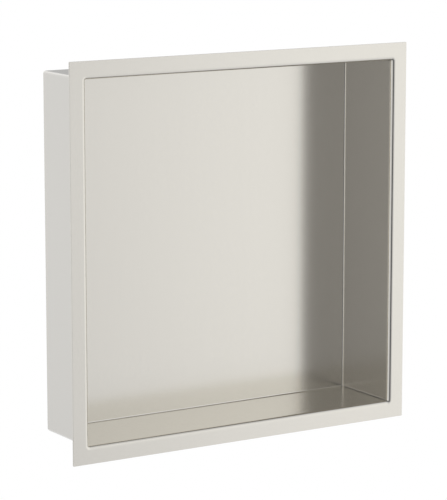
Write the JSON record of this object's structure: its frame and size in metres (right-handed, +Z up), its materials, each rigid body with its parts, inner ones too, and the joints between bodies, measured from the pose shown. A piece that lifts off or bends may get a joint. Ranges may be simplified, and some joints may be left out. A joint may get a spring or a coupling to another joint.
{
  "type": "shower niche insert",
  "caption": "Recessed square wall niche for a shower: a shallow open box folded from brushed stainless sheet, with a flat rim that bears on the tiled wall.",
  "frame": {"origin": "middle of the box's mouth, in the plane of the finished wall, which is the back face of the rim", "axes": "+Z up, +Y into the wall, so the open front faces -Y, and +X to the right as one looks into the niche"},
  "size_m": [0.33, 0.0715, 0.33],
  "materials": {
    "brushed_stainless": "fine satin brushed, warm grey, unlacquered"
  },
  "bodies": {
    "root": {"niche_insert": "brushed_stainless"}
  },
  "joints": []
}
